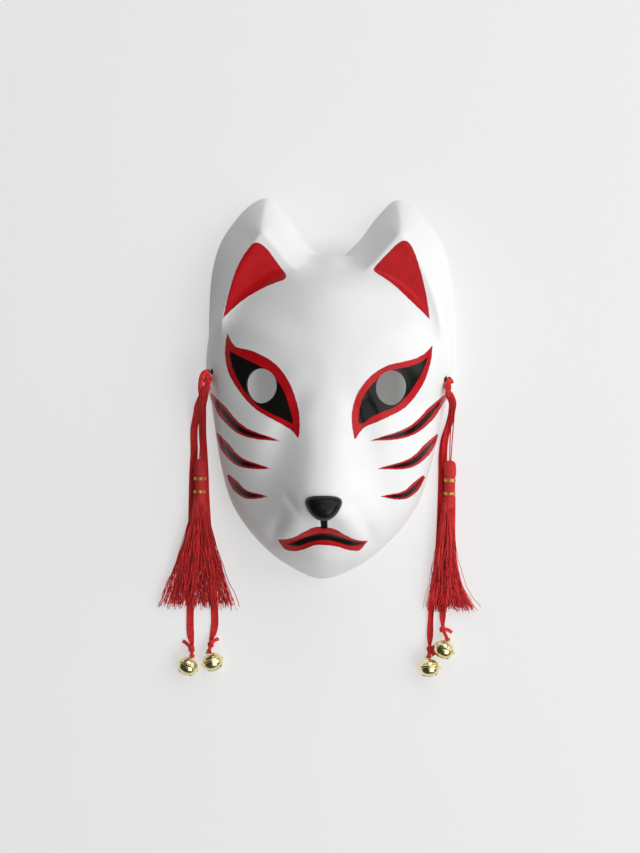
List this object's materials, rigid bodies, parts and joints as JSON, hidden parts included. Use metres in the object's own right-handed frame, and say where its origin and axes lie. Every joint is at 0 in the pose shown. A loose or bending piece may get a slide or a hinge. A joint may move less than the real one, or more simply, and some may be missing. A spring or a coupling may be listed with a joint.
{
  "type": "kitsune mask",
  "caption": "Full-face fox mask in moulded white plastic with tall open ears, round eye holes, an elastic strap, and a tassel and belled ribbons at each side.",
  "frame": {"origin": "on the plane of the mask's back rim, midway between the ear tips and the chin and midway between the sides", "axes": "+Z out of the face, +Y towards the ears, +X towards the viewer's right in a front view; the mask lies on its rim"},
  "size_m": [0.224, 0.3414, 0.0895],
  "materials": {
    "shell": "satin white moulded plastic, hand painted in red and black",
    "silk": "red rayon thread",
    "ribbon": "woven red ribbon with a sparkling thread",
    "gold_thread": "wound gold thread",
    "bell_brass": "bright plated",
    "elastic": "black braided elastic"
  },
  "bodies": {
    "root": {"mask_shell": "shell", "strap": "elastic", "strap_knot_left": "elastic", "tie_knot_left": "ribbon", "tassel_cord_left": "silk", "tassel_left": "silk", "tassel_binding_upper_left": "gold_thread", "tassel_binding_lower_left": "gold_thread", "ribbon_left_outer": "ribbon", "ribbon_knot_left_outer": "ribbon", "bell_left_outer": "bell_brass", "ribbon_left_inner": "ribbon", "ribbon_knot_left_inner": "ribbon", "bell_left_inner": "bell_brass", "strap_knot_right": "elastic", "tie_knot_right": "ribbon", "tassel_cord_right": "silk", "tassel_right": "silk", "tassel_binding_upper_right": "gold_thread", "tassel_binding_lower_right": "gold_thread", "ribbon_right_outer": "ribbon", "ribbon_knot_right_outer": "ribbon", "bell_right_outer": "bell_brass", "ribbon_right_inner": "ribbon", "ribbon_knot_right_inner": "ribbon", "bell_right_inner": "bell_brass"}
  },
  "joints": []
}
